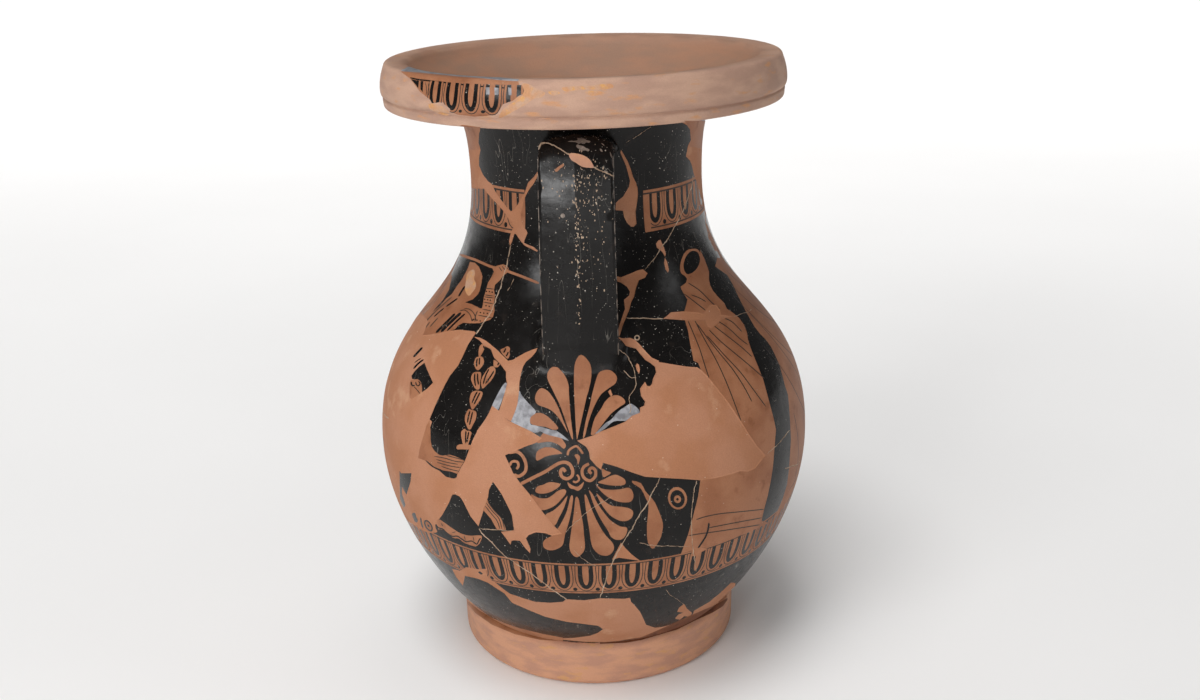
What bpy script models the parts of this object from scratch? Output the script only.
"""A pelike: a turned, hollow clay storage jar with a broad lip and two strap handles.

The clay is one piece. Its wall is a profile turned about +Z, and two straps, one
at -Y and one at +Y, are luted on and united with it. The origin is the middle of
the circle that the foot rests on. Lengths are in metres.
"""
import math

import bmesh
import bpy
from mathutils import Vector

NAME = "pelike"
CLAY = (0.52, 0.24, 0.13, 1.0)

# The whole pot
HEIGHT = 0.400
WALL = 0.0062
TURN_STEPS = 64

# Foot
FOOT_HEIGHT = 0.0320
FOOT_RADIUS = 0.0962
FOOT_REST_RADIUS = 0.0915
FOOT_TOP_ROUND = 0.0060
FOOT_BOTTOM_ROUND = 0.0045
FOOT_REST_WIDTH = 0.0135
RECESS_DEPTH = 0.0190
FLOOR = 0.0095
GROOVE_RADIUS = 0.0932
GROOVE_DROP = 0.0010

# Body, between the groove over the foot and the narrowest place of the neck
BODY_START_RADIUS = 0.0948
BODY_START_ANGLE = math.radians(48.0)
BELLY_RADIUS = 0.1447
BELLY_LEVEL = 0.1490
NECK_RADIUS = 0.0745
LOWER_FULLNESS = (0.31, 0.38)
SHOULDER_FULLNESS = (0.52, 0.52)
FLOOR_BEND_LEVEL = 0.0560

# Neck and lip, measured down from the rim
NECK_DROP = 0.0744
LIP_DEPTH = 0.0270
NECK_TOP_RADIUS = 0.0822
NECK_TOP_ANGLE = math.radians(67.8)
NECK_FULLNESS = (0.51, 0.32)
LIP_RADIUS = 0.1280
LIP_SWELL_DROP = 0.0120
LIP_BASE_RADIUS = 0.1258
LIP_ROUND = 0.0016
LIP_NOTCH_DROP = 0.0203
LIP_NOTCH_DEPTH = 0.0014
RIM_RADIUS = 0.1246
RIM_ROUND = 0.0030
RIM_WIDTH = 0.0105
DISH_DEPTH = 0.0500
RIM_FALL = 0.22
UNDERSIDE_ROUND = 0.0040

# Handles
STRAP_WIDTH = 0.0430
STRAP_EDGE = 0.0070
STRAP_RIDGE = 0.0028
STRAP_BEVEL = 0.0014
STRAP_REACH = 0.0368
STRAP_TOP_GAP = 0.0062
STRAP_BEND = 0.0360
STRAP_STEPS = 4
ROOT_SPREAD = 0.0065
ROOT_RISE = 0.0120
ROOT_FALL = 0.0016
ROOT_STEPS = 4


def bezier(start, start_pull, end_pull, end, count):
    """Points of a cubic curve in the (radius, level) plane, both ends included."""
    points = []
    for index in range(count + 1):
        t = index / count
        a, b, c, d = (1 - t) ** 3, 3 * t * (1 - t) ** 2, 3 * t * t * (1 - t), t ** 3
        points.append(Vector((a * start[i] + b * start_pull[i] + c * end_pull[i] + d * end[i]
                              for i in range(2))))
    return points


def arc(centre, radius, start_degrees, end_degrees, count):
    """Points of an arc in the (radius, level) plane, both ends included."""
    points = []
    for index in range(count + 1):
        angle = math.radians(start_degrees + (end_degrees - start_degrees) * index / count)
        points.append(Vector((centre[0] + radius * math.cos(angle),
                              centre[1] + radius * math.sin(angle))))
    return points


def outer_wall():
    """Outside of the body and neck, from the groove over the foot up to the lip."""
    start = (BODY_START_RADIUS, FOOT_HEIGHT)
    belly = (BELLY_RADIUS, BELLY_LEVEL)
    neck = (NECK_RADIUS, HEIGHT - NECK_DROP)
    top = (NECK_TOP_RADIUS, HEIGHT - LIP_DEPTH)
    lower, upper, throat = belly[1] - start[1], neck[1] - belly[1], top[1] - neck[1]
    reach = LOWER_FULLNESS[0] * lower
    flare = NECK_FULLNESS[1] * throat
    points = bezier(start,
                    (start[0] + reach * math.cos(BODY_START_ANGLE),
                     start[1] + reach * math.sin(BODY_START_ANGLE)),
                    (belly[0], belly[1] - LOWER_FULLNESS[1] * lower), belly, 6)
    points += bezier(belly, (belly[0], belly[1] + SHOULDER_FULLNESS[0] * upper),
                     (neck[0], neck[1] - SHOULDER_FULLNESS[1] * upper), neck, 8)[1:]
    points += bezier(neck, (neck[0], neck[1] + NECK_FULLNESS[0] * throat),
                     (top[0] - flare * math.cos(NECK_TOP_ANGLE),
                      top[1] - flare * math.sin(NECK_TOP_ANGLE)), top, 3)[1:]
    return points


def radius_at(wall, level):
    """Radius of a wall, given as points from low to high, at one level."""
    for low, high in zip(wall, wall[1:]):
        if low.y <= level <= high.y:
            share = (level - low.y) / (high.y - low.y)
            return low.x + share * (high.x - low.x)
    return wall[0].x if level < wall[0].y else wall[-1].x


def inset(wall, distance):
    """The wall's line moved inwards, square to itself."""
    moved = []
    for index, point in enumerate(wall):
        before = wall[max(index - 1, 0)]
        after = wall[min(index + 1, len(wall) - 1)]
        along = (after - before).normalized()
        moved.append(point + distance * Vector((-along.y, along.x)))
    return moved


def lip_outside():
    """Outside of the lip, from its underside at the neck round to the rim."""
    base = HEIGHT - LIP_DEPTH
    notch = HEIGHT - LIP_NOTCH_DROP
    swell = HEIGHT - LIP_SWELL_DROP
    points = [Vector((NECK_TOP_RADIUS + UNDERSIDE_ROUND, base + UNDERSIDE_ROUND / 4))]
    points += arc((LIP_BASE_RADIUS - LIP_ROUND, base + LIP_ROUND), LIP_ROUND, -90, 0, 2)
    points.append(Vector((LIP_BASE_RADIUS + LIP_ROUND / 4, notch - LIP_NOTCH_DEPTH)))
    points.append(Vector((LIP_BASE_RADIUS - LIP_NOTCH_DEPTH / 2, notch)))
    points += bezier((LIP_BASE_RADIUS + LIP_NOTCH_DEPTH / 2, notch + LIP_NOTCH_DEPTH / 2),
                     (LIP_RADIUS, notch + LIP_NOTCH_DEPTH),
                     (LIP_RADIUS, swell + LIP_NOTCH_DEPTH),
                     (RIM_RADIUS, HEIGHT - RIM_ROUND), 4)
    points += arc((RIM_RADIUS - RIM_ROUND, HEIGHT - RIM_ROUND), RIM_ROUND, 30, 90, 2)
    return points


def mouth(inner_wall):
    """Rim's flat top and the dish that falls from it into the neck."""
    edge = (RIM_RADIUS - RIM_ROUND - RIM_WIDTH, HEIGHT - RIM_ROUND / 4)
    low = HEIGHT - DISH_DEPTH
    throat = (radius_at(inner_wall, low), low)
    width = edge[0] - throat[0]
    return bezier(edge, (edge[0] - width * RIM_FALL, edge[1] - DISH_DEPTH / 3),
                  (throat[0], low + DISH_DEPTH * 3 / 4), throat, 6)


def inside(outer):
    """Hollow of the pot from the dish down to the middle of its floor."""
    inner_wall = inset(outer, WALL)
    dish = mouth(inner_wall)
    side = [p for p in reversed(inner_wall) if FLOOR_BEND_LEVEL < p.y < dish[-1].y - WALL]
    bend = side[-1]
    slope = (side[-1] - side[-2]).normalized()
    drop = bend.y - RECESS_DEPTH - FLOOR
    floor = bezier(bend, bend + slope * drop, (bend.x / 2, RECESS_DEPTH + FLOOR),
                   (0.0, RECESS_DEPTH + FLOOR), 5)
    return dish + side + floor[1:]


def foot_outside():
    """Outside of the foot, from the groove under the body down to the resting ring."""
    top = FOOT_HEIGHT - GROOVE_DROP
    points = [Vector((GROOVE_RADIUS, top))]
    points += arc((FOOT_RADIUS - FOOT_TOP_ROUND, top - FOOT_TOP_ROUND), FOOT_TOP_ROUND, 60, 0, 2)
    points += arc((FOOT_REST_RADIUS, FOOT_BOTTOM_ROUND), FOOT_BOTTOM_ROUND, -15, -90, 2)
    return points


def foot_underside():
    """Resting ring and the shallow hollow inside it, out to the middle."""
    edge = FOOT_REST_RADIUS - FOOT_REST_WIDTH
    return bezier((edge, 0.0), (edge - RECESS_DEPTH / 4, RECESS_DEPTH * 0.7),
                  (edge / 2, RECESS_DEPTH), (0.0, RECESS_DEPTH), 4)


def full_profile():
    """Closed half section: hollow, rim, lip, wall, foot and underside, axis to axis."""
    outer = outer_wall()
    hollow = list(reversed(inside(outer)))
    lip = list(reversed(lip_outside()))
    return hollow + lip + list(reversed(outer)) + foot_outside() + foot_underside()


def clay_material():
    """Fired orange clay."""
    material = bpy.data.materials.new("fired_clay")
    material.use_nodes = True
    shader = material.node_tree.nodes["Principled BSDF"]
    shader.inputs["Base Color"].default_value = CLAY
    shader.inputs["Roughness"].default_value = 0.6
    shader.inputs["Metallic"].default_value = 0.0
    return material


def turned_body(collection, material):
    """Body, foot and lip: the half section turned about +Z."""
    profile = full_profile()
    mesh = bpy.data.meshes.new(NAME)
    mesh.from_pydata([(p.x, 0.0, p.y) for p in profile],
                     [(i, i + 1) for i in range(len(profile) - 1)], [])
    mesh.materials.append(material)
    body = bpy.data.objects.new(NAME, mesh)
    collection.objects.link(body)
    turn = body.modifiers.new("Turn", "SCREW")
    turn.axis = "Z"
    turn.angle = math.tau
    turn.screw_offset = 0.0
    turn.steps = TURN_STEPS
    turn.render_steps = TURN_STEPS
    turn.use_merge_vertices = True
    turn.merge_threshold = 0.00002
    turn.use_smooth_shade = True
    return body


def strap_path(outer):
    """Middle line of a strap, from near the neck over its bend to near the shoulder."""
    half = STRAP_EDGE / 2 + STRAP_RIDGE
    crown = HEIGHT - LIP_DEPTH - STRAP_TOP_GAP - half
    reach = NECK_RADIUS + STRAP_REACH
    start = (radius_at(outer, crown) + ROOT_RISE, crown - ROOT_FALL)
    low = (reach, crown - STRAP_BEND)
    span = reach - start[0]
    path = bezier(start, (start[0] + span * 0.3, crown), (start[0] + span * 0.45, crown),
                  (start[0] + span * 0.6, crown - STRAP_BEND * 0.1), 2)
    path += bezier(path[-1], (start[0] + span * 0.85, crown - STRAP_BEND * 0.27),
                   (reach, low[1] + STRAP_BEND * 0.35), low, 5)[1:]
    run = low[1] - level_at(outer, reach) - ROOT_RISE
    path += [Vector((reach, low[1] - run * i / STRAP_STEPS)) for i in range(1, STRAP_STEPS + 1)]
    return path


def level_at(wall, radius):
    """Highest level on the shoulder where the wall is as wide as the radius."""
    for high, low in zip(reversed(wall), reversed(wall[:-1])):
        if high.x <= radius <= low.x:
            share = (radius - high.x) / (low.x - high.x)
            return high.y + share * (low.y - high.y)
    return BELLY_LEVEL


def strap_section(spread):
    """Section of the strap as (across, outward) points, clockwise from its ridge.

    The outer face is two planes that meet in a low ridge, and the inner face is flat.
    """
    half = STRAP_WIDTH / 2 + spread
    edge = STRAP_EDGE / 2 + spread / 2
    ridge = edge + STRAP_RIDGE
    bevel = STRAP_BEVEL + spread / 2
    right = [(half / 2, (ridge + edge) / 2), (half - bevel, edge), (half, edge - bevel),
             (half, bevel - edge), (half - bevel, -edge)]
    left = [(-across, out) for across, out in reversed(right)]
    return [(0.0, ridge)] + right + [(0.0, -edge)] + left


def strap_ring(point, along, spread):
    """Section points set square to the strap's run, in space."""
    outward = Vector((-along.y, along.x))
    ring = []
    for across, out in strap_section(spread):
        radius, level = point + outward * out
        ring.append(Vector((across, -radius, level)))
    return ring


def distance_to(line, start, heading):
    """How far a point goes along a heading before it meets a turned surface."""
    near, far = 0.0, STRAP_WIDTH + ROOT_RISE
    for _ in range(40):
        middle = (near + far) / 2
        place = start + heading * middle
        outside = math.hypot(place.x, place.y) > radius_at(line, place.z)
        near, far = (middle, far) if outside else (near, middle)
    return near


def landing(point, along, outer):
    """Rings of a root that widens to the wall and ends in the middle of its thickness."""
    heading = Vector((0.0, -along.x, along.y))
    side = along if along.y < -0.9 else -along
    core = inset(outer, WALL / 2)
    rings = []
    for step in range(1, ROOT_STEPS + 1):
        share = step / ROOT_STEPS
        spread = ROOT_SPREAD * (1.0 - math.sqrt(1.0 - share * share))
        ring = strap_ring(point, side, spread)
        rings.append([place + heading * share * distance_to(outer, place, heading)
                      for place in ring])
    rings.append([place + heading * distance_to(core, place, heading)
                  for place in strap_ring(point, side, ROOT_SPREAD)])
    return rings


def strap_mesh(outer):
    """Closed strap: sections along its path and a spreading root at each end."""
    path = strap_path(outer)
    tangents = [(path[min(i + 1, len(path) - 1)] - path[max(i - 1, 0)]).normalized()
                for i in range(len(path))]
    rings = [strap_ring(point, along, 0.0) for point, along in zip(path, tangents)]
    rings = list(reversed(landing(path[0], -tangents[0], outer))) + rings
    rings += landing(path[-1], tangents[-1], outer)
    bm = bmesh.new()
    corners = [[bm.verts.new(place) for place in ring] for ring in rings]
    for first, second in zip(corners, corners[1:]):
        for index in range(len(first)):
            after = (index + 1) % len(first)
            bm.faces.new((first[index], first[after], second[after], second[index]))
    for end in (corners[0], corners[-1]):
        middle = len(end) // 2
        bm.faces.new(end[:middle + 1])
        bm.faces.new(end[middle:] + end[:1])
    bmesh.ops.recalc_face_normals(bm, faces=bm.faces)
    mesh = bpy.data.meshes.new("strap")
    bm.to_mesh(mesh)
    bm.free()
    return mesh


def add_straps(body, cutters):
    """Unites two straps, one at -Y and one at +Y, with the turned body."""
    mesh = strap_mesh(outer_wall())
    mesh.materials.append(body.data.materials[0])
    for name, turn in (("front_strap", 0.0), ("back_strap", math.pi)):
        strap = bpy.data.objects.new(name, mesh)
        strap.rotation_euler = (0.0, 0.0, turn)
        strap.hide_render = True
        strap.display_type = "WIRE"
        cutters.objects.link(strap)
        join = body.modifiers.new(name, "BOOLEAN")
        join.operation = "UNION"
        join.solver = "EXACT"
        join.object = strap


def main():
    """Builds the pelike."""
    for old in list(bpy.data.objects):
        bpy.data.objects.remove(old, do_unlink=True)
    parts = bpy.data.collections.new(NAME)
    cutters = bpy.data.collections.new("united_straps")
    for collection in (parts, cutters):
        bpy.context.scene.collection.children.link(collection)
    body = turned_body(parts, clay_material())
    add_straps(body, cutters)


main()
